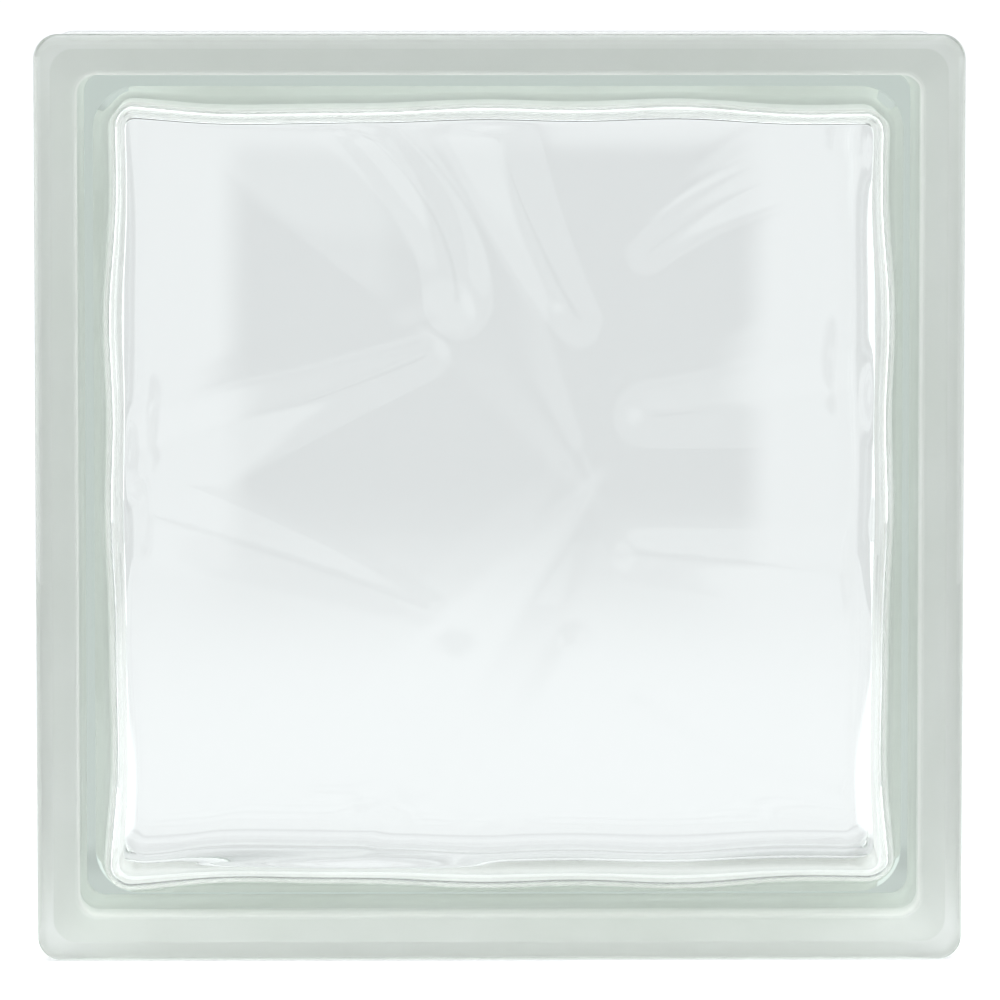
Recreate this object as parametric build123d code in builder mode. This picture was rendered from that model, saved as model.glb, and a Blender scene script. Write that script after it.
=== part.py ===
"""Hollow glass block: two pressed half shells, fused edge to edge into one piece of glass.

The block stands upright on the edges of its two rims. X runs across the face, Y through the
block with the front face at -Y, and Z up. The origin is at the middle of the base.
"""

import math
import os

from build123d import *

# Driving dimensions of the block, in millimetres and degrees
face_width = 190.0
face_height = 190.0
block_depth = 80.0
outline_radius = 5.0

# The rim that stands out round each face, and the channel for mortar between the two rims.
# The channel's floor leans out a little towards the seam.
rim_land = 9.0
rim_overhang = 8.5
shoulder_run = 4.5
channel_draft_angle = 1.7
channel_corner_radius = 4.0
face_edge_radius = 2.5
rim_edge_radius = 1.5
root_radius = 2.0

# The hollow inside: its wall at the fused seam, its narrowing towards the face, and the pane
seam_wall = 3.3
hollow_draft_angle = 7.5
hollow_corner_radius = 9.0
pane_thickness = 9.0
pane_radius = 3.5

# The bead of glass that the fusing squeezes out all round the seam
bead_width = 4.0
bead_height = 0.8
bead_bevel = 0.6

# The waves on the inside of each pane: tongues of glass that run out from round its middle and
# thicken as they go. They rise out of a flat border, from the fine line of their stamp's edge.
tongue_width = 5.0
tongue_tip = 5.0
tongue_run = 46.0
tongue_slope_angle = 1.2
wave_border = 0.5
wave_fade = 10.0
wave_line = 0.15
wave_grid_steps = 60
# Each tongue: where its tip is in the half width and half height, its direction in degrees, its
# bend, its half width beside the usual one, how much it widens along its run, and its slope beside
# the usual one
tongue_shares = (
    (-0.10, 0.37, 90.0, 0.68, 1.0, 0.0, 1.0),
    (0.29, 0.33, 121.0, -0.14, 1.0, 0.01, 1.0),
    (0.31, 0.55, 45.0, -0.35, 0.8, 0.02, 1.0),
    (0.29, 0.195, 5.0, 0.0, 0.9, 0.02, 1.0),
    (-0.13, 0.37, 200.0, -0.1, 0.8, 0.04, 1.0),
    (0.28, 0.06, 236.0, 0.0, 0.9, 0.12, 0.45),
)

# Sizes worked out from the ones above
half_depth = block_depth / 2
wall_run = half_depth - rim_land - shoulder_run
channel_width = face_width - 2 * rim_overhang
channel_height = face_height - 2 * rim_overhang
channel_lean = wall_run * math.tan(math.radians(channel_draft_angle))
seam_width = channel_width + 2 * channel_lean
seam_height = channel_height + 2 * channel_lean
hollow_width = seam_width - 2 * seam_wall
hollow_height = seam_height - 2 * seam_wall
hollow_run = half_depth - pane_thickness
pane_inset = hollow_run * math.tan(math.radians(hollow_draft_angle)) + pane_radius
wave_width = hollow_width - 2 * (pane_inset + wave_border)
wave_height = hollow_height - 2 * (pane_inset + wave_border)

# Planes across the block: their normals point at the front, out of the face
seam_plane = Plane(origin=(0, 0, face_height / 2), x_dir=(1, 0, 0), z_dir=(0, -1, 0))
face_plane = seam_plane.offset(half_depth)
rim_plane = seam_plane.offset(half_depth - rim_land)
root_plane = seam_plane.offset(wall_run)
pane_plane = seam_plane.offset(hollow_run)
middle_axis = Axis(origin=seam_plane.origin, direction=(1, 0, 0))


def smooth_step(share):
    """0 below 0, 1 above 1, and an even rise between."""
    share = min(max(share, 0.0), 1.0)
    return share * share * (3 - 2 * share)


def wave_rise(across, up):
    """How far the waves thicken the pane at a point, measured from the pane's middle."""
    slope = math.tan(math.radians(tongue_slope_angle))
    rise = 0.0
    for tip_across, tip_up, direction, bend, width_share, spread, slope_share in tongue_shares:
        turn = math.radians(direction)
        from_tip_across = across - tip_across * wave_width / 2
        from_tip_up = up - tip_up * wave_height / 2
        along = max(from_tip_across * math.cos(turn) + from_tip_up * math.sin(turn), 0.0)
        aside = from_tip_up * math.cos(turn) - from_tip_across * math.sin(turn)
        aside -= bend * along * along / (wave_width / 2)
        half_width = tongue_width * width_share + spread * along
        crest = math.exp(-((aside / half_width) ** 2))
        climbed = (along + tongue_run - math.hypot(along - tongue_run, tongue_tip)) / 2
        rise += slope * slope_share * (math.hypot(climbed, tongue_tip) - tongue_tip) * crest
    fade_across = smooth_step((wave_width / 2 - abs(across)) / wave_fade)
    fade_up = smooth_step((wave_height / 2 - abs(up)) / wave_fade)
    return wave_line + rise * fade_across * fade_up


def wave_face():
    """The waves as one spline face, which reaches a little past their border on all sides."""
    steps = [2 * step / wave_grid_steps - 1 for step in range(wave_grid_steps + 1)]
    reach_across = wave_width / 2 + wave_border
    reach_up = wave_height / 2 + wave_border
    rows = []
    for up_share in steps:
        row = []
        for across_share in steps:
            across, up = across_share * reach_across, up_share * reach_up
            row.append(pane_plane.from_local_coords((across, up, -wave_rise(across, up))))
        rows.append(row)
    return Face.make_surface_from_array_of_points(rows)


# The waves of one pane, as the glass that stands out of it
with BuildPart() as waves:
    with BuildSketch(pane_plane):
        Rectangle(wave_width, wave_height)
    extrude(amount=-hollow_run)
    split(bisect_by=wave_face(), keep=Keep.BOTTOM)

# The hollow of one half: it narrows from the seam to the pane, and ends on the waves
with BuildPart() as hollow:
    with BuildSketch(seam_plane):
        RectangleRounded(hollow_width, hollow_height, hollow_corner_radius)
    extrude(amount=hollow_run)
    ends = hollow.faces().filter_by(Axis.Y)
    draft(hollow.faces() - ends, neutral_plane=seam_plane, angle=hollow_draft_angle)
    fillet(hollow.faces().sort_by(Axis.Y)[0].edges(), radius=pane_radius)
    add(waves.part, mode=Mode.SUBTRACT)

# The wall of one half, from the root of the rim to the seam
with BuildPart() as wall:
    with BuildSketch(root_plane):
        RectangleRounded(channel_width, channel_height, channel_corner_radius)
    extrude(amount=-wall_run)
    ends = wall.faces().filter_by(Axis.Y)
    draft(wall.faces() - ends, neutral_plane=root_plane, angle=channel_draft_angle)

# One half as it is pressed: the face with its rim, the shoulder behind it, the wall to the seam
with BuildPart() as half_shell:
    with BuildSketch(face_plane):
        RectangleRounded(face_width, face_height, outline_radius)
    extrude(amount=-rim_land)
    with BuildSketch(rim_plane):
        RectangleRounded(face_width, face_height, outline_radius)
    with BuildSketch(root_plane):
        RectangleRounded(channel_width, channel_height, channel_corner_radius)
    loft(ruled=True)
    add(wall.part)
    face_edges, rim_edges, root_edges = [
        half_shell.edges().filter_by_position(Axis.Y, plane.origin.Y, plane.origin.Y)
        for plane in (face_plane, rim_plane, root_plane)
    ]
    fillet(root_edges, radius=root_radius)
    fillet(rim_edges, radius=rim_edge_radius)
    fillet(face_edges, radius=face_edge_radius)
    add(hollow.part, mode=Mode.SUBTRACT)

# The bead on the seam, outside and inside
with BuildPart() as seam_bead:
    with BuildSketch(seam_plane):
        RectangleRounded(
            seam_width + 2 * bead_height,
            seam_height + 2 * bead_height,
            channel_corner_radius + bead_height,
        )
        RectangleRounded(
            hollow_width - 2 * bead_height,
            hollow_height - 2 * bead_height,
            hollow_corner_radius - bead_height,
            mode=Mode.SUBTRACT,
        )
    extrude(amount=bead_width / 2, both=True)
    bead_sides = seam_bead.edges().group_by(Axis.Y)
    chamfer(bead_sides[0] + bead_sides[-1], length=bead_bevel)

# The whole block: two halves from one mould, the back one turned upside down, fused together
with BuildPart() as glass_block:
    add(half_shell.part)
    add(half_shell.part.rotate(middle_axis, 180))
    add(seam_bead.part)

glass_block.part.label = "glass_block"
os.makedirs("parts", exist_ok=True)
export_step(glass_block.part, "parts/glass_block.step")
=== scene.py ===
"""Looks of the hollow glass block: waved panes, coated edges, and a plain pale studio."""

import math

import bpy
import numpy as np
from bpy.props import FloatProperty, FloatVectorProperty, IntProperty, PointerProperty
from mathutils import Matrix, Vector


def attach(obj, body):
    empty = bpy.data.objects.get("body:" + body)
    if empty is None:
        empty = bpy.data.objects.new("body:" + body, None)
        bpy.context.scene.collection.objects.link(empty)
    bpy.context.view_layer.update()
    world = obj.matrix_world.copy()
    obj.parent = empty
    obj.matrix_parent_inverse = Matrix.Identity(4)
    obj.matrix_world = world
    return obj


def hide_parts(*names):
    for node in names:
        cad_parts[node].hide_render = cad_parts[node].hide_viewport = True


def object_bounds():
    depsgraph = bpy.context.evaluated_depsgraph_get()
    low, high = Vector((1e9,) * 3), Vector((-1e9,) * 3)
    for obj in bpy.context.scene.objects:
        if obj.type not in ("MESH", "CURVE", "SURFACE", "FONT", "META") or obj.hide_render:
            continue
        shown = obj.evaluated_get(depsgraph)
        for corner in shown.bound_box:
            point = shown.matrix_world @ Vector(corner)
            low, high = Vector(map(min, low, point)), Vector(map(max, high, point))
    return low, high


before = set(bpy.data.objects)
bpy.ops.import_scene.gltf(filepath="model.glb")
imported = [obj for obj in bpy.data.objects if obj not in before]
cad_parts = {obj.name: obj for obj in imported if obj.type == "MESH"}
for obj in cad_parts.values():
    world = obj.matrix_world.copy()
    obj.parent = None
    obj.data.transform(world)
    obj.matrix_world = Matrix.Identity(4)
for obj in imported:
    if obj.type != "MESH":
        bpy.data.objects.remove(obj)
CAD_LOW, CAD_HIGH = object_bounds()
FACE_WIDTH, BLOCK_DEPTH, FACE_HEIGHT = CAD_HIGH - CAD_LOW

bl_info = {
    "name": "Glass Block",
    "version": (1, 0, 0),
    "blender": (4, 5, 0),
    "location": "3D View > Sidebar > Glass Block",
    "description": "Makes a hollow glass block with waved panes, its finish and its studio",
    "category": "Object",
}

MM = 0.001
NODE = "glass_block"

# The width of the coat's soft edge, the share of the coat outside it, and the range of its cloudiness
COAT_BLEND = 0.25 * MM
EDGE_COAT = 0.5
CLOUD_RANGE = (0.3, 0.7)

# Each tongue of the waves: the place of its rounded end as shares of half the pane, its direction
# in degrees, its bend, its width beside the usual one, how fast it widens, and its slope beside the
# usual one
TONGUE_SHARES = (
    (-0.113, 0.52, 90.0, 1.2, 1.13, 0.0, 1.0),
    (0.212, 0.474, 121.0, -0.22, 0.8, 0.1, 1.0),
    (0.39, 0.647, 42.0, -0.5, 0.5, 0.08, 1.0),
    (0.4, 0.219, 5.6, 0.0, 1.02, 0.09, 1.2),
    (-0.194, 0.38, 203.0, -0.09, 0.7, 0.09, 1.15),
    (0.28, 0.056, 238.0, 0.0, 0.2, 0.28, 0.5),
)
# Each ripple of the panes' borders: number of waves along a side, where it starts, and its height.
# The power keeps the ripple of a border close to that border.
BORDER_SHARES = ((1.6, 0.1, 0.5), (2.7, 0.55, 0.3), (4.3, 0.3, 0.2))
RIPPLE_POWER = 9

# Where the light of the room changes: from and to, along the axes of a direction
FRONT_ZONE = (0.1, -0.1)
LEFT_ZONE = (0.1, -0.1)
MIDDLE_ZONE = (0.08, 0.2)
SIDE_ZONE = (0.6, 0.9)
LOW_ZONE = (0.06, 0.12)
HIGH_ZONE = (0.25, 0.4)
OVERHEAD_ZONE = (0.7, 0.95)

# The sides of the dim opening that the panes mirror, as slopes away from straight ahead
OPENING_LEFT = (-0.028, -0.022)
OPENING_RIGHT = (0.051, 0.045)
OPENING_TOP = (-0.0225, -0.0275)
OPENING_FOOT = (-0.098, -0.070)
OPENING_FRONT = (0.0, -0.1)
LEAST_AHEAD = 0.01

# Where the floor changes: from and to, in metres away from the seam, to the side, to the back or
# all round
WALL_EDGE = (0.008, 0.014)
RIM_EDGE = (0.024, 0.032)
BACK_EDGE = (0.034, 0.038)
BLOCK_EDGE = (0.11, 0.16)
NEAR_EDGE = (0.11, 0.15)
SHADOW_EDGE = (0.15, 0.35)
MIRRORED_EDGE = (0.4, 1.0)
PATH_SIDE = (0.1, 0.06)
PATH_START = (0.6, 1.3)
SIDE_START = (0.1, 0.17)
SIDE_END = (0.4, 0.2)
FAR_BACK = (0.16, 0.19)
MIDDLE_BACK = (0.15, 0.12)
CLOSE_BACK = (0.09, 0.07)


def length(label, size, about):
    """A length property, with its size given in millimetres."""
    return FloatProperty(
        name=label, description=about, default=size * MM, unit="LENGTH", precision=5
    )


def share(label, value, about):
    """A property for a plain number."""
    return FloatProperty(name=label, description=about, default=value, precision=4)


def angle(label, degrees, about):
    """An angle property, with its size given in degrees."""
    return FloatProperty(
        name=label, description=about, default=math.radians(degrees), subtype="ANGLE"
    )


def colour(label, value, about):
    """A colour property."""
    return FloatVectorProperty(
        name=label, description=about, default=value, subtype="COLOR", min=0.0, max=1.0
    )


def count(label, value, about):
    """A whole number of steps."""
    return IntProperty(name=label, description=about, default=value, min=1)


class GlassBlockSizes(bpy.types.PropertyGroup):
    """The section of the block, as the solid has it."""

    outline_radius: length("Outline radius", 5.0, "Corner radius of the face's outline")
    rim_land: length("Rim land", 9.0, "Depth of the rim's flat edge")
    rim_overhang: length("Rim overhang", 8.5, "How far the rim stands out past the channel")
    shoulder_run: length("Shoulder run", 4.5, "Depth of the slope behind the rim")
    channel_corner_radius: length("Channel corner radius", 4.0, "Corner radius of the wall")
    face_edge_radius: length("Face edge radius", 2.5, "Rounding between the face and the rim")
    rim_edge_radius: length("Rim edge radius", 1.5, "Rounding behind the rim's edge")
    root_radius: length("Root radius", 2.0, "Rounding at the foot of the shoulder")
    clear_edge: length("Clear edge", 3.1, "How far the coat stays away from the outline")
    seam_wall: length("Seam wall", 3.3, "Thickness of the wall at the seam")
    hollow_corner_radius: length("Hollow corner radius", 9.0, "Corner radius of the hollow")
    pane_thickness: length("Pane thickness", 9.0, "Thickness of the pane between its waves")
    pane_radius: length("Pane radius", 3.5, "Rounding between the pane and the wall")
    bead_width: length("Bead width", 4.0, "Width of the bead on the seam")
    bead_height: length("Bead height", 0.8, "How far the bead stands out of the wall")
    bead_bevel: length("Bead bevel", 0.6, "Slope at either side of the bead")
    channel_draft: angle("Channel draft", 1.7, "Lean of the wall's outside, out towards the seam")
    hollow_draft: angle("Hollow draft", 7.5, "Lean of the hollow's wall, in towards the pane")


class GlassBlockWaves(bpy.types.PropertyGroup):
    """The waves on the inside of each pane."""

    tongue_width: length("Tongue width", 6.0, "Half the width of a tongue at its end")
    tongue_slope: angle("Tongue slope", 1.8, "Slope of a tongue's two sides")
    ridge_radius: length("Ridge radius", 0.3, "Rounding along the ridge of a tongue")
    crease_radius: length("Crease radius", 0.8, "Rounding along the foot of a tongue")
    border_fade: length("Border fade", 2.5, "How far from a pane's border the tongues run out")
    border_ripple: length("Border ripple", 1.8, "How far the borders of a pane wander")


class GlassBlockMesh(bpy.types.PropertyGroup):
    """How finely the mesh is divided."""

    straight_steps: count("Straight steps", 140, "Steps along a side")
    corner_steps: count("Corner steps", 5, "Steps in half a corner")
    round_steps: count("Rounding steps", 7, "Steps in a rounding")


class GlassBlockFinish(bpy.types.PropertyGroup):
    """The glass and the coat on its edges."""

    glass_tint: colour("Glass tint", (0.25, 0.40, 0.30), "What thick glass lets through")
    tint_density: share("Tint density", 10.0, "How strongly the glass takes up light")
    refraction: share("Refraction", 1.52, "Refractive index of the glass")
    coat_colour: colour("Coat colour", (0.98, 0.97, 0.93), "Colour of the coat in the channel")
    # Painted shade: a greyer, greener copy of the coat colour that darkens the coat behind the rim
    rim_shade_colour: colour("Rim colour", (0.77, 0.80, 0.755), "Colour of the coat behind the rim")
    coat_cover: share("Coat cover", 0.85, "How much of the edges the coat covers")
    cloud_scale: share("Cloud scale", 45.0, "How fine the cloudiness of the coat is")
    cloud_share: share("Cloud share", 0.12, "How much the cover varies with the cloudiness")
    coat_clearness: share("Coat clearness", 0.55, "How much light the coat lets through")
    coat_roughness: share("Coat roughness", 1.0, "How far the coat spreads the light")


class GlassBlockStage(bpy.types.PropertyGroup):
    """The camera and the floor."""

    camera_distance: length("Camera distance", 1460.0, "From the front face to the camera")
    camera_height: length("Camera height", 109.0, "Of the camera above the block's middle")
    camera_aside: length("Camera aside", -18.0, "Of the camera beside the block's middle")
    face_share: share("Face share", 0.930, "Width of the face in the picture")
    light_bounces: count("Light bounces", 24, "How often light may turn inside the glass")
    floor_radius: length("Floor radius", 1000.0, "Radius of the pale floor")
    floor_colour: colour("Floor colour", (0.7, 0.7, 0.7), "Colour of the pale floor")


class GlassBlockLight(bpy.types.PropertyGroup):
    """How bright the parts of the room and of the floor are."""

    light_colour: colour("Light colour", (0.965, 0.98, 1.0), "Colour of all the light")
    backdrop: share("Backdrop", 1.1, "What the camera sees round the block")
    ahead: share("Ahead", 1.0, "The room straight in front and straight behind")
    near_ahead: share("Near ahead", 0.85, "The room a little to either side of that")
    sides: share("Sides", 2.4, "The room at the left and at the right")
    back_right: share("Back right", 1.9, "The room at the right behind the block")
    low: share("Low", 1.1, "The room a little above the floor")
    high_front: share("High front", 2.0, "The room high up in front")
    high_back: share("High back", 0.03, "The room high up behind")
    overhead: share("Overhead", 2.9, "The room right above")
    opening: share("Opening", 0.05, "The dim opening that the panes mirror")
    under_seam: share("Under seam", 0.75, "The floor under the seam")
    under_wall: share("Under wall", 1.05, "The floor under the walls")
    under_rim: share("Under rim", 0.2, "The floor under the rims")
    around: share("Around", 0.3, "The floor close round the block")
    shadowed: share("Shadowed", 0.5, "The glow of the floor where the camera sees the shadow")
    mirrored_near: share("Mirrored near", 1.5, "The near floor as the panes mirror it")
    mirrored_far: share("Mirrored far", 1.0, "The far floor as the panes mirror it")
    far_back: share("Far back", 1.0, "The floor far behind, through the panes")
    mid_back: share("Mid back", 0.85, "The floor nearer than that")
    near_back: share("Near back", 0.97, "The floor nearer again")
    close_back: share("Close back", 0.88, "The floor close behind the block")
    floor_sides: share("Floor sides", 1.6, "The floor to the left and right")


def smooth_step(value):
    """0 below 0, 1 above 1, and an even rise between, for arrays too."""
    value = np.clip(value, 0.0, 1.0)
    return value * value * (3 - 2 * value)


def rounded_profile(corners, steps):
    """Points along a bent line in (inset, depth), with each corner rounded by its own radius."""
    points = []
    for index, (inset, depth, radius) in enumerate(corners):
        here = np.array((inset, depth))
        if not radius:
            points.append(here)
            continue
        before = np.array(corners[index - 1][:2]) - here
        after = np.array(corners[index + 1][:2]) - here
        before /= np.linalg.norm(before)
        after /= np.linalg.norm(after)
        half_angle = math.acos(np.clip(before @ after, -1, 1)) / 2
        reach = radius / math.tan(half_angle)
        middle = (before + after) / np.linalg.norm(before + after)
        centre = here + middle * radius / math.sin(half_angle)
        start = here + before * reach - centre
        end = here + after * reach - centre
        sweep = math.pi - 2 * half_angle
        for step in range(steps + 1):
            turn = sweep * step / steps
            mix = (math.sin(sweep - turn) * start + math.sin(turn) * end) / math.sin(sweep)
            points.append(centre + mix)
    return points


def ring_points(half_width, half_height, radius, mesh):
    """A rounded rectangle in (across, up), anticlockwise from its lower left corner's middle."""
    middles = [
        np.array((side_x * (half_width - radius), side_z * (half_height - radius)))
        for side_x, side_z in ((-1, -1), (1, -1), (1, 1), (-1, 1))
    ]
    eighth = math.pi / 4
    points = []
    for side in range(4):
        outward = math.pi * 1.5 + math.pi / 2 * side
        start, end = middles[side], middles[(side + 1) % 4]
        normal = np.array((math.cos(outward), math.sin(outward)))
        for step in range(mesh.corner_steps):
            turn = outward - eighth + eighth * step / mesh.corner_steps
            points.append(start + radius * np.array((math.cos(turn), math.sin(turn))))
        for step in range(mesh.straight_steps):
            points.append(start + (end - start) * step / mesh.straight_steps + radius * normal)
        for step in range(mesh.corner_steps):
            turn = outward + eighth * step / mesh.corner_steps
            points.append(end + radius * np.array((math.cos(turn), math.sin(turn))))
    return np.array(points)


def filled_grid(ring):
    """A square grid of points inside a ring, blended from its four sides."""
    size = len(ring) // 4
    closed = np.vstack((ring, ring[:1]))
    bottom, right, top, left = (closed[side * size:(side + 1) * size + 1] for side in range(4))
    top, left = top[::-1], left[::-1]
    across = np.linspace(0, 1, size + 1)[:, None, None]
    up = np.linspace(0, 1, size + 1)[None, :, None]
    sides = (
        (1 - up) * bottom[:, None]
        + up * top[:, None]
        + (1 - across) * left[None]
        + across * right[None]
    )
    corners = (
        (1 - across) * (1 - up) * bottom[0]
        + across * (1 - up) * bottom[-1]
        + across * up * top[-1]
        + (1 - across) * up * top[0]
    )
    return sides - corners


def wave_rise(across, up, half_width, half_height, waves):
    """How far the waves thicken the pane at points measured from the pane's middle."""
    rise = np.zeros_like(across)
    for tip_across, tip_up, direction, bend, width_share, spread, slope_share in TONGUE_SHARES:
        turn = math.radians(direction)
        from_tip_across = across - tip_across * half_width
        from_tip_up = up - tip_up * half_height
        along = from_tip_across * math.cos(turn) + from_tip_up * math.sin(turn)
        aside = from_tip_up * math.cos(turn) - from_tip_across * math.sin(turn)
        past_tip = np.maximum(along, 0)
        aside = aside - bend * past_tip * past_tip / half_width
        width = waves.tongue_width * width_share + spread * past_tip
        from_axis = np.hypot(aside, np.minimum(along, 0))
        from_axis = np.hypot(from_axis, waves.ridge_radius) - waves.ridge_radius
        inside = width - from_axis
        rounded = (inside + np.hypot(inside, waves.crease_radius)) / 2
        rise += slope_share * math.tan(waves.tongue_slope) * rounded
    fade_across = smooth_step((half_width - np.abs(across)) / waves.border_fade)
    fade_up = smooth_step((half_height - np.abs(up)) / waves.border_fade)
    return rise * fade_across * fade_up


def border_ripple(along, half_length):
    """The ripple of a pane's border at points along one of its sides, between -1 and 1."""
    place = along / half_length / 2
    return sum(
        height * np.sin(2 * math.pi * (number * place + start))
        for number, start, height in BORDER_SHARES
    )


def ripple_ring(points, half_width, half_height, reach, back):
    """Moves the points of a ring by the ripples of the four borders, upside down at the back."""
    across, up = points.T
    at_side = np.clip(across / half_width, -1, 1) ** RIPPLE_POWER
    at_end = np.clip(up / half_height, -1, 1) ** RIPPLE_POWER
    aside = border_ripple(-up if back else up, half_height) * at_side
    upright = border_ripple(across, half_width) * at_end
    return np.stack((across + reach * aside, up + reach * upright), axis=-1)


class BlockMesh:
    """Gathers the vertices, faces and coat of the block's mesh."""

    def __init__(self):
        # self.rim holds the mask of the painted shade on the coat behind the rim
        self.points, self.coat, self.rim, self.faces = [], [], [], []

    def add_points(self, across, depth, up, coat=0.0, rim=0.0):
        """Adds points and returns their numbers, in the shape of the arrays given."""
        across, depth, up = np.broadcast_arrays(across, depth, up)
        first = sum(len(part) for part in self.points)
        placed = np.stack((across, depth - BLOCK_DEPTH / 2, up + FACE_HEIGHT / 2), axis=-1)
        self.points.append(placed.reshape(-1, 3))
        self.coat.append(np.full(across.size, coat, np.float32))
        self.rim.append(np.full(across.size, rim, np.float32))
        return np.arange(first, first + across.size).reshape(across.shape)

    def join_rings(self, rings, outwards):
        """Faces between neighbouring rings."""
        for near, far in zip(rings, rings[1:]):
            near_next, far_next = np.roll(near, -1), np.roll(far, -1)
            order = (near, far, far_next, near_next)
            if not outwards:
                order = (near, near_next, far_next, far)
            self.faces.extend(np.stack(order, axis=-1).tolist())

    def fill_grid(self, grid, forwards):
        """Faces of a grid of points."""
        corners = grid[:-1, :-1], grid[1:, :-1], grid[1:, 1:], grid[:-1, 1:]
        if not forwards:
            corners = corners[::-1]
        self.faces.extend(np.stack(corners, axis=-1).reshape(-1, 4).tolist())

    def object(self, name):
        """The finished mesh as a smooth object."""
        mesh = bpy.data.meshes.new(name)
        mesh.from_pydata(np.vstack(self.points).tolist(), [], self.faces)
        for label, values in (("edge_coat", self.coat), ("rim_shade_mask", self.rim)):
            layer = mesh.attributes.new(label, "FLOAT", "POINT")
            layer.data.foreach_set("value", np.concatenate(values))
        mesh.polygons.foreach_set("use_smooth", np.ones(len(mesh.polygons), bool))
        mesh.update()
        made = bpy.data.objects.new(name, mesh)
        bpy.context.scene.collection.objects.link(made)
        return made


def outer_profile(sizes, mesh):
    """The outside of the front half in (inset, depth), from the face to the seam."""
    half_depth = BLOCK_DEPTH / 2
    root_depth = sizes.rim_land + sizes.shoulder_run
    slope = math.tan(sizes.channel_draft)
    shoulder = sizes.shoulder_run / sizes.rim_overhang
    coat_start = sizes.clear_edge + COAT_BLEND
    bead_start = half_depth - sizes.bead_width / 2
    bead_foot = sizes.rim_overhang - (bead_start - root_depth) * slope
    bead_top = sizes.rim_overhang - (half_depth - root_depth) * slope - sizes.bead_height
    corners = (
        (sizes.face_edge_radius * 2, 0.0, 0.0),
        (0.0, 0.0, sizes.face_edge_radius),
        (0.0, sizes.rim_land, sizes.rim_edge_radius),
        (sizes.clear_edge, sizes.rim_land + sizes.clear_edge * shoulder, 0.0),
        (coat_start, sizes.rim_land + coat_start * shoulder, 0.0),
        (sizes.rim_overhang, root_depth, sizes.root_radius),
        (bead_foot, bead_start, 0.0),
        (bead_top, bead_start + sizes.bead_bevel, 0.0),
        (bead_top, half_depth, 0.0),
    )
    return rounded_profile(corners, mesh.round_steps)


def outer_corner_radius(inset, depth, sizes):
    """Corner radius of the outside at an inset and depth."""
    if depth <= sizes.rim_land:
        return max(sizes.outline_radius - inset, sizes.face_edge_radius)
    to_root = min(inset / sizes.rim_overhang, 1.0)
    return sizes.outline_radius + (sizes.channel_corner_radius - sizes.outline_radius) * to_root


def hollow_profile(sizes, mesh):
    """The wall of the hollow's front half in (inset, depth), from the pane to the seam."""
    half_depth = BLOCK_DEPTH / 2
    slope = math.tan(sizes.hollow_draft)
    pane_corner = (half_depth - sizes.pane_thickness) * slope
    corners = (
        (pane_corner + sizes.pane_radius * 2, sizes.pane_thickness, 0.0),
        (pane_corner, sizes.pane_thickness, sizes.pane_radius),
        (0.0, half_depth, 0.0),
    )
    return rounded_profile(corners, mesh.round_steps)[1:]


def mirrored(profile):
    """A profile carried on past the seam to the back."""
    back = [np.array((inset, BLOCK_DEPTH - depth)) for inset, depth in profile[-2::-1]]
    return list(profile) + back


def add_outside(block, sizes, mesh):
    """The outer shell: both faces, rims, shoulders, the channel and the bead."""
    rings = []
    for inset, depth in mirrored(outer_profile(sizes, mesh)):
        from_face = min(depth, BLOCK_DEPTH - depth)
        radius = outer_corner_radius(inset, from_face, sizes)
        across, up = ring_points(FACE_WIDTH / 2 - inset, FACE_HEIGHT / 2 - inset, radius, mesh).T
        coat = float(from_face > sizes.rim_land)
        if inset < sizes.clear_edge + COAT_BLEND / 2:
            coat *= EDGE_COAT
        # Mask of the painted shade on the coat: full where the inset is well short of the rim's
        # overhang, half at the overhang
        rim = smooth_step((sizes.rim_overhang - inset) / sizes.root_radius + 0.5)
        rings.append(block.add_points(across, np.float64(depth), up, coat, rim))
    block.join_rings(rings, outwards=True)
    block.faces.append(rings[0].tolist())
    block.faces.append(rings[-1][::-1].tolist())


def add_hollow(block, sizes, waves, mesh):
    """The inner shell: the wall of the hollow and the two waved panes."""
    half_depth = BLOCK_DEPTH / 2
    wall_run = half_depth - sizes.rim_land - sizes.shoulder_run
    seam_inset = sizes.rim_overhang - wall_run * math.tan(sizes.channel_draft) + sizes.seam_wall
    half_width, half_height = FACE_WIDTH / 2 - seam_inset, FACE_HEIGHT / 2 - seam_inset
    profile = hollow_profile(sizes, mesh)
    pane_half = half_width - profile[0][0], half_height - profile[0][0]
    rings = []
    for inset, depth in mirrored(profile):
        back = depth > half_depth
        radius = sizes.hollow_corner_radius - inset
        from_face = BLOCK_DEPTH - depth if back else depth
        past_pane = from_face - sizes.pane_thickness
        carried = smooth_step(1 - past_pane / (half_depth - sizes.pane_thickness))
        points = ring_points(half_width - inset, half_height - inset, radius, mesh)
        reach = carried * waves.border_ripple
        across, up = ripple_ring(points, half_width, half_height, reach, back).T
        carried = smooth_step(1 - past_pane / sizes.pane_radius)
        from_face = from_face + carried * wave_rise(across, -up if back else up, *pane_half, waves)
        depth = BLOCK_DEPTH - from_face if back else from_face
        rings.append((across, depth, up))
    numbers = [block.add_points(*ring) for ring in rings[1:-1]]
    block.join_rings(numbers, outwards=False)
    corner_radius = sizes.hollow_corner_radius - profile[0][0]
    border = ring_points(*pane_half, corner_radius, mesh)
    for back in (False, True):
        grid = filled_grid(ripple_ring(border, half_width, half_height, waves.border_ripple, back))
        across, up = grid[..., 0], grid[..., 1]
        depth = sizes.pane_thickness + wave_rise(across, -up if back else up, *pane_half, waves)
        pane = block.add_points(across, BLOCK_DEPTH - depth if back else depth, up)
        block.fill_grid(pane, forwards=back)
        edge = np.concatenate((pane[:-1, 0], pane[-1, :-1], pane[:0:-1, -1], pane[0, :0:-1]))
        block.join_rings([numbers[-1], edge] if back else [edge, numbers[0]], outwards=False)


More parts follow.
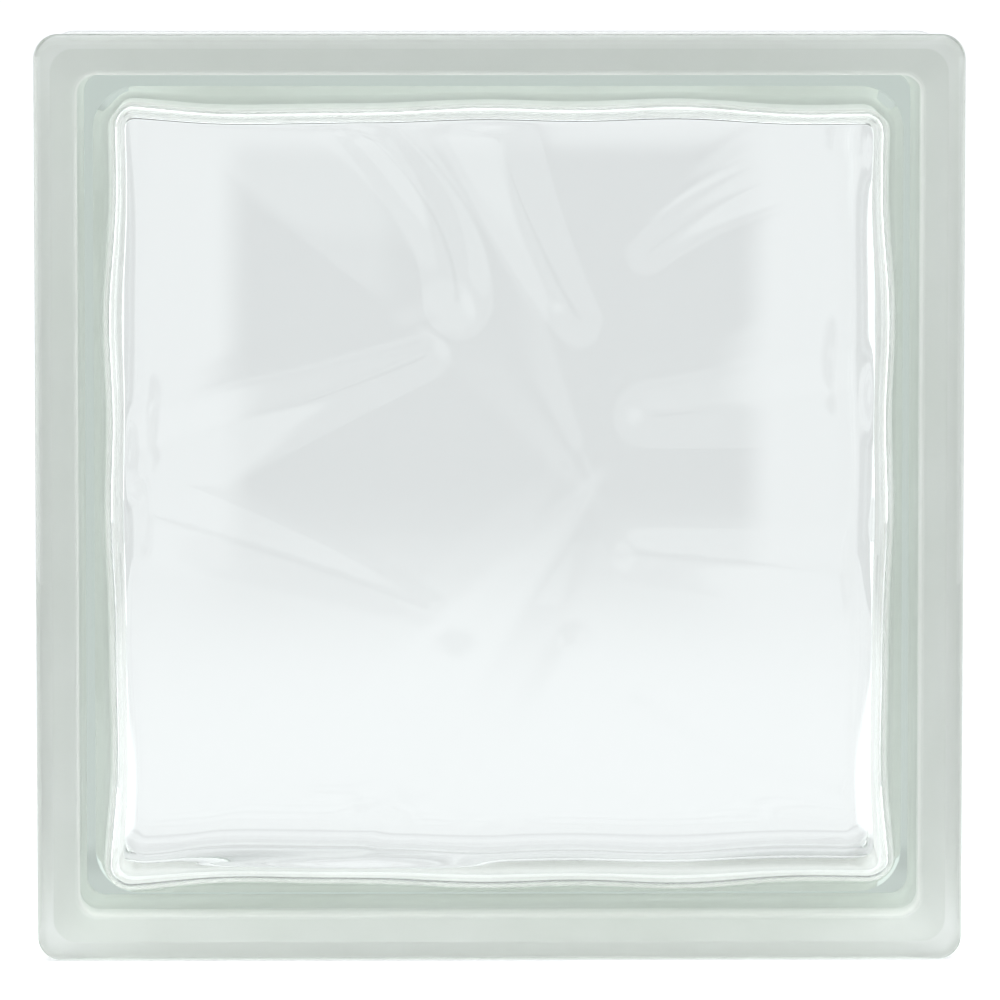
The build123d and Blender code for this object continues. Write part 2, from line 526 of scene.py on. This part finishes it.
class NodeKit:
    """Short ways to add nodes to a tree."""

    def __init__(self, tree):
        self.nodes, self.links = tree.nodes, tree.links
        self.nodes.clear()

    def put(self, value, socket):
        """Links or sets a socket."""
        if isinstance(value, bpy.types.NodeSocket):
            self.links.new(value, socket)
        else:
            socket.default_value = value

    def add(self, kind, sockets=None):
        """A node with some of its sockets set or linked."""
        node = self.nodes.new("ShaderNode" + kind)
        for name, value in (sockets or {}).items():
            self.put(value, node.inputs[name])
        return node

    def attribute(self, name):
        """A number that the mesh holds at each of its points."""
        node = self.add("Attribute")
        node.attribute_name = name
        return node.outputs["Fac"]

    def maths(self, operation, first, second=0.0):
        """One or two values after an operation."""
        node = self.add("Math", {0: first, 1: second})
        node.operation = operation
        return node.outputs["Value"]

    def product(self, first, *others):
        """All the values multiplied."""
        for other in others:
            first = self.maths("MULTIPLY", first, other)
        return first

    def step(self, value, start, end):
        """A smooth rise from 0 at the start to 1 at the end."""
        node = self.add("MapRange", {"Value": value, "From Min": start, "From Max": end})
        node.interpolation_type = "SMOOTHSTEP"
        return node.outputs["Result"]

    def span(self, value, low, high, start=0.0, end=1.0):
        """An even change from low at the start to high at the end."""
        ends = {"From Min": start, "From Max": end, "To Min": low, "To Max": high}
        return self.add("MapRange", {"Value": value, **ends}).outputs["Result"]

    def blend(self, factor, first, second):
        """A number between two numbers."""
        return self.add("Mix", {"Factor": factor, "A": first, "B": second}).outputs["Result"]

    def blend_colours(self, factor, first, second):
        """A colour between two colours."""
        node = self.add("Mix")
        node.data_type = "RGBA"
        self.put(factor, node.inputs["Factor"])
        self.put((*first, 1.0), node.inputs["A"])
        self.put((*second, 1.0), node.inputs["B"])
        return node.outputs["Result"]

    def blend_shaders(self, factor, first, second):
        """A shader between two shaders."""
        return self.add("MixShader", {0: factor, 1: first, 2: second}).outputs["Shader"]


def glass_material(finish):
    """Clear glass with a faint green tint, and a pale cloudy coat where the mortar goes, with painted
    shade making the coat greyer and greener behind the rim.
    """
    material = bpy.data.materials.new("clear_glass")
    material.use_nodes = True
    kit = NodeKit(material.node_tree)
    coat = kit.attribute("edge_coat")
    clear = kit.add("BsdfPrincipled", {
        "Base Color": (1.0, 1.0, 1.0, 1.0),
        "Roughness": kit.span(coat, 0.0, finish.coat_roughness),
        "IOR": finish.refraction,
        "Transmission Weight": 1.0,
    })
    # Painted shade: the coat's colour turns to the darker rim colour where the mask of the painted
    # shade is set
    tint = kit.blend_colours(kit.attribute("rim_shade_mask"), finish.coat_colour, finish.rim_shade_colour)
    matt = kit.add("BsdfDiffuse", {"Color": tint})
    milky = kit.add("BsdfTranslucent", {"Color": tint})
    layer = kit.blend_shaders(
        finish.coat_clearness, matt.outputs["BSDF"], milky.outputs["BSDF"]
    )
    place = kit.add("TexCoord").outputs["Object"]
    cloud = kit.add("TexNoise", {"Vector": place, "Scale": finish.cloud_scale}).outputs["Fac"]
    thin, thick = finish.coat_cover - finish.cloud_share, finish.coat_cover + finish.cloud_share
    cover = kit.product(coat, kit.span(cloud, thin, thick, *CLOUD_RANGE))
    body = kit.add("VolumeAbsorption", {
        "Color": (*finish.glass_tint, 1.0),
        "Density": finish.tint_density,
    })
    kit.add("OutputMaterial", {
        "Surface": kit.blend_shaders(cover, clear.outputs["BSDF"], layer),
        "Volume": body.outputs["Volume"],
    })
    return material


class OBJECT_OT_glass_block(bpy.types.Operator):
    """Make the glass block with its waves and finish"""

    bl_idname = "object.make_glass_block"
    bl_label = "Make Glass Block"

    def execute(self, context):
        scene = context.scene
        block = BlockMesh()
        add_outside(block, scene.glass_block_sizes, scene.glass_block_mesh)
        add_hollow(block, scene.glass_block_sizes, scene.glass_block_waves, scene.glass_block_mesh)
        made = block.object("pressed_glass_block")
        made.data.materials.append(glass_material(scene.glass_block_finish))
        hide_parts(NODE)
        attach(made, "root")
        return {"FINISHED"}


def light_room(world, light):
    """A white room for the camera and through the glass, with a dim opening in its reflections."""
    world.use_nodes = True
    world.cycles.sampling_method = "NONE"
    kit = NodeKit(world.node_tree)
    path = kit.add("LightPath").outputs
    place = kit.add("TexCoord").outputs["Generated"]
    split = kit.add("SeparateXYZ", {"Vector": place}).outputs
    beside = kit.maths("ABSOLUTE", split["X"])
    in_front = kit.step(split["Y"], *FRONT_ZONE)

    ahead = kit.blend(kit.step(beside, *MIDDLE_ZONE), light.ahead, light.near_ahead)
    back_sides = kit.blend(kit.step(split["X"], *LEFT_ZONE), light.back_right, light.sides)
    sides = kit.blend(in_front, back_sides, light.sides)
    level = kit.blend(kit.step(beside, *SIDE_ZONE), ahead, sides)
    low = kit.blend(kit.step(split["Z"], *LOW_ZONE), level, light.low)
    high = kit.blend(in_front, light.high_back, light.high_front)
    upper = kit.blend(kit.step(split["Z"], *OVERHEAD_ZONE), high, light.overhead)
    room = kit.blend(kit.step(split["Z"], *HIGH_ZONE), low, upper)

    forward = kit.maths("MAXIMUM", kit.maths("ABSOLUTE", split["Y"]), LEAST_AHEAD)
    aside = kit.maths("DIVIDE", split["X"], forward)
    rise = kit.maths("DIVIDE", split["Z"], forward)
    dim = kit.product(
        kit.step(aside, *OPENING_LEFT),
        kit.step(aside, *OPENING_RIGHT),
        kit.step(rise, *OPENING_TOP),
        kit.step(rise, *OPENING_FOOT),
        kit.step(split["Y"], *OPENING_FRONT),
    )
    reflected = kit.maths("MINIMUM", path["Glossy Depth"], 1.0)
    seen = kit.blend(reflected, room, kit.blend(dim, room, light.opening))
    background = kit.add("Background", {
        "Color": (*light.light_colour, 1.0),
        "Strength": kit.blend(path["Is Camera Ray"], seen, light.backdrop),
    })
    kit.add("OutputWorld", {"Surface": background.outputs["Background"]})


def floor_material(stage, light):
    """A pale matt floor that fades to white away from the block."""
    material = bpy.data.materials.new("pale_floor")
    material.use_nodes = True
    material.cycles.emission_sampling = "NONE"
    kit = NodeKit(material.node_tree)
    path = kit.add("LightPath").outputs
    place = kit.add("TexCoord").outputs["Object"]
    split = kit.add("SeparateXYZ", {"Vector": place}).outputs
    measure = kit.add("VectorMath", {0: place})
    measure.operation = "LENGTH"
    distance = measure.outputs["Value"]
    beside = kit.maths("ABSOLUTE", split["X"])
    from_seam = kit.maths("ABSOLUTE", split["Y"])
    light_colour = (*light.light_colour, 1.0)

    # Painted light and shade in the floor's glow for rays other than the camera's: brighter under the
    # walls, darker under the rims and round the block
    below = kit.blend(kit.step(from_seam, *WALL_EDGE), light.under_seam, light.under_wall)
    below = kit.blend(kit.step(from_seam, *RIM_EDGE), below, light.under_rim)
    under = kit.blend(kit.step(distance, *BLOCK_EDGE), below, light.around)
    matt = kit.add("BsdfDiffuse", {"Color": (*stage.floor_colour, 1.0)})
    glow = kit.add("Emission", {
        "Color": light_colour,
        "Strength": kit.blend(path["Is Camera Ray"], under, light.shadowed),
    })
    near = kit.add("AddShader", {0: matt.outputs["BSDF"], 1: glow.outputs["Emission"]})

    mirrored_path = kit.product(kit.step(beside, *PATH_SIDE), kit.step(distance, *PATH_START))
    fading = kit.blend(
        kit.step(distance, *MIRRORED_EDGE), light.mirrored_near, light.mirrored_far
    )
    mirrored = kit.blend(mirrored_path, fading, light.opening)
    # Painted light and shade in the floor's glow seen through the glass: dimmer than the backdrop
    # within about 0.19 m behind the seam, brighter to the left and right
    through = kit.blend(kit.step(split["Y"], *FAR_BACK), light.mid_back, light.far_back)
    through = kit.blend(kit.step(split["Y"], *MIDDLE_BACK), through, light.near_back)
    through = kit.blend(kit.step(split["Y"], *CLOSE_BACK), through, light.close_back)
    at_sides = kit.product(kit.step(beside, *SIDE_START), kit.step(split["Y"], *SIDE_END))
    through = kit.blend(at_sides, through, light.floor_sides)
    reflected = kit.maths("MINIMUM", path["Glossy Depth"], 1.0)
    seen = kit.blend(reflected, through, mirrored)
    far = kit.add("Emission", {
        "Color": light_colour,
        "Strength": kit.blend(path["Is Camera Ray"], seen, light.backdrop),
    })

    behind = kit.step(from_seam, *BACK_EDGE)
    through_far = kit.maths("MAXIMUM", behind, kit.step(distance, *NEAR_EDGE))
    seen_far = kit.step(distance, *SHADOW_EDGE)
    share_far = kit.blend(path["Is Camera Ray"], through_far, seen_far)
    both = kit.blend_shaders(share_far, near.outputs["Shader"], far.outputs["Emission"])
    kit.add("OutputMaterial", {"Surface": both})
    return material


class SCENE_OT_glass_block_stage(bpy.types.Operator):
    """Make the pale floor, the soft light and the camera"""

    bl_idname = "scene.make_glass_block_stage"
    bl_label = "Make Stage"

    def execute(self, context):
        scene = context.scene
        stage = scene.glass_block_stage
        scene.world = bpy.data.worlds.new("pale_room")
        light_room(scene.world, scene.glass_block_light)

        bpy.ops.mesh.primitive_circle_add(vertices=128, radius=stage.floor_radius, fill_type="NGON")
        floor = context.object
        floor.name = "pale_floor"
        floor.data.materials.append(floor_material(stage, scene.glass_block_light))

        camera = bpy.data.objects.new("camera", bpy.data.cameras.new("camera"))
        scene.collection.objects.link(camera)
        scene.camera = camera
        middle = Vector((0, -BLOCK_DEPTH / 2, FACE_HEIGHT / 2))
        camera.location = middle + Vector(
            (stage.camera_aside, -stage.camera_distance, stage.camera_height)
        )
        aim = middle - camera.location
        camera.rotation_euler = aim.to_track_quat("-Z", "Y").to_euler()
        camera.data.lens = camera.data.sensor_width * stage.face_share / (FACE_WIDTH / aim.length)
        scene.view_settings.view_transform = "Standard"
        scene.cycles.max_bounces = stage.light_bounces
        scene.cycles.glossy_bounces = stage.light_bounces
        scene.cycles.transmission_bounces = stage.light_bounces
        return {"FINISHED"}


class VIEW3D_PT_glass_block(bpy.types.Panel):
    """The block's sizes and the buttons that make it"""

    bl_idname = "VIEW3D_PT_glass_block"
    bl_label = "Glass Block"
    bl_space_type = "VIEW_3D"
    bl_region_type = "UI"
    bl_category = "Glass Block"

    def draw(self, context):
        for operator in (OBJECT_OT_glass_block, SCENE_OT_glass_block_stage):
            self.layout.operator(operator.bl_idname)
        for name in GROUPS:
            group = getattr(context.scene, name)
            box = self.layout.box()
            for prop in group.bl_rna.properties:
                if prop.identifier not in ("rna_type", "name"):
                    box.prop(group, prop.identifier)


GROUPS = {
    "glass_block_sizes": GlassBlockSizes,
    "glass_block_waves": GlassBlockWaves,
    "glass_block_mesh": GlassBlockMesh,
    "glass_block_finish": GlassBlockFinish,
    "glass_block_stage": GlassBlockStage,
    "glass_block_light": GlassBlockLight,
}
CLASSES = (
    *GROUPS.values(),
    OBJECT_OT_glass_block,
    SCENE_OT_glass_block_stage,
    VIEW3D_PT_glass_block,
)


def register():
    """Registers the classes and hangs the properties on the scene."""
    for made in CLASSES:
        bpy.utils.register_class(made)
    for name, group in GROUPS.items():
        setattr(bpy.types.Scene, name, PointerProperty(type=group))


def unregister():
    """Takes the properties and classes away again."""
    for name in GROUPS:
        delattr(bpy.types.Scene, name)
    for made in reversed(CLASSES):
        bpy.utils.unregister_class(made)


def main():
    """Makes the block and the stage."""
    register()
    bpy.ops.object.make_glass_block()
    bpy.ops.scene.make_glass_block_stage()


if __name__ == "__main__":
    main()
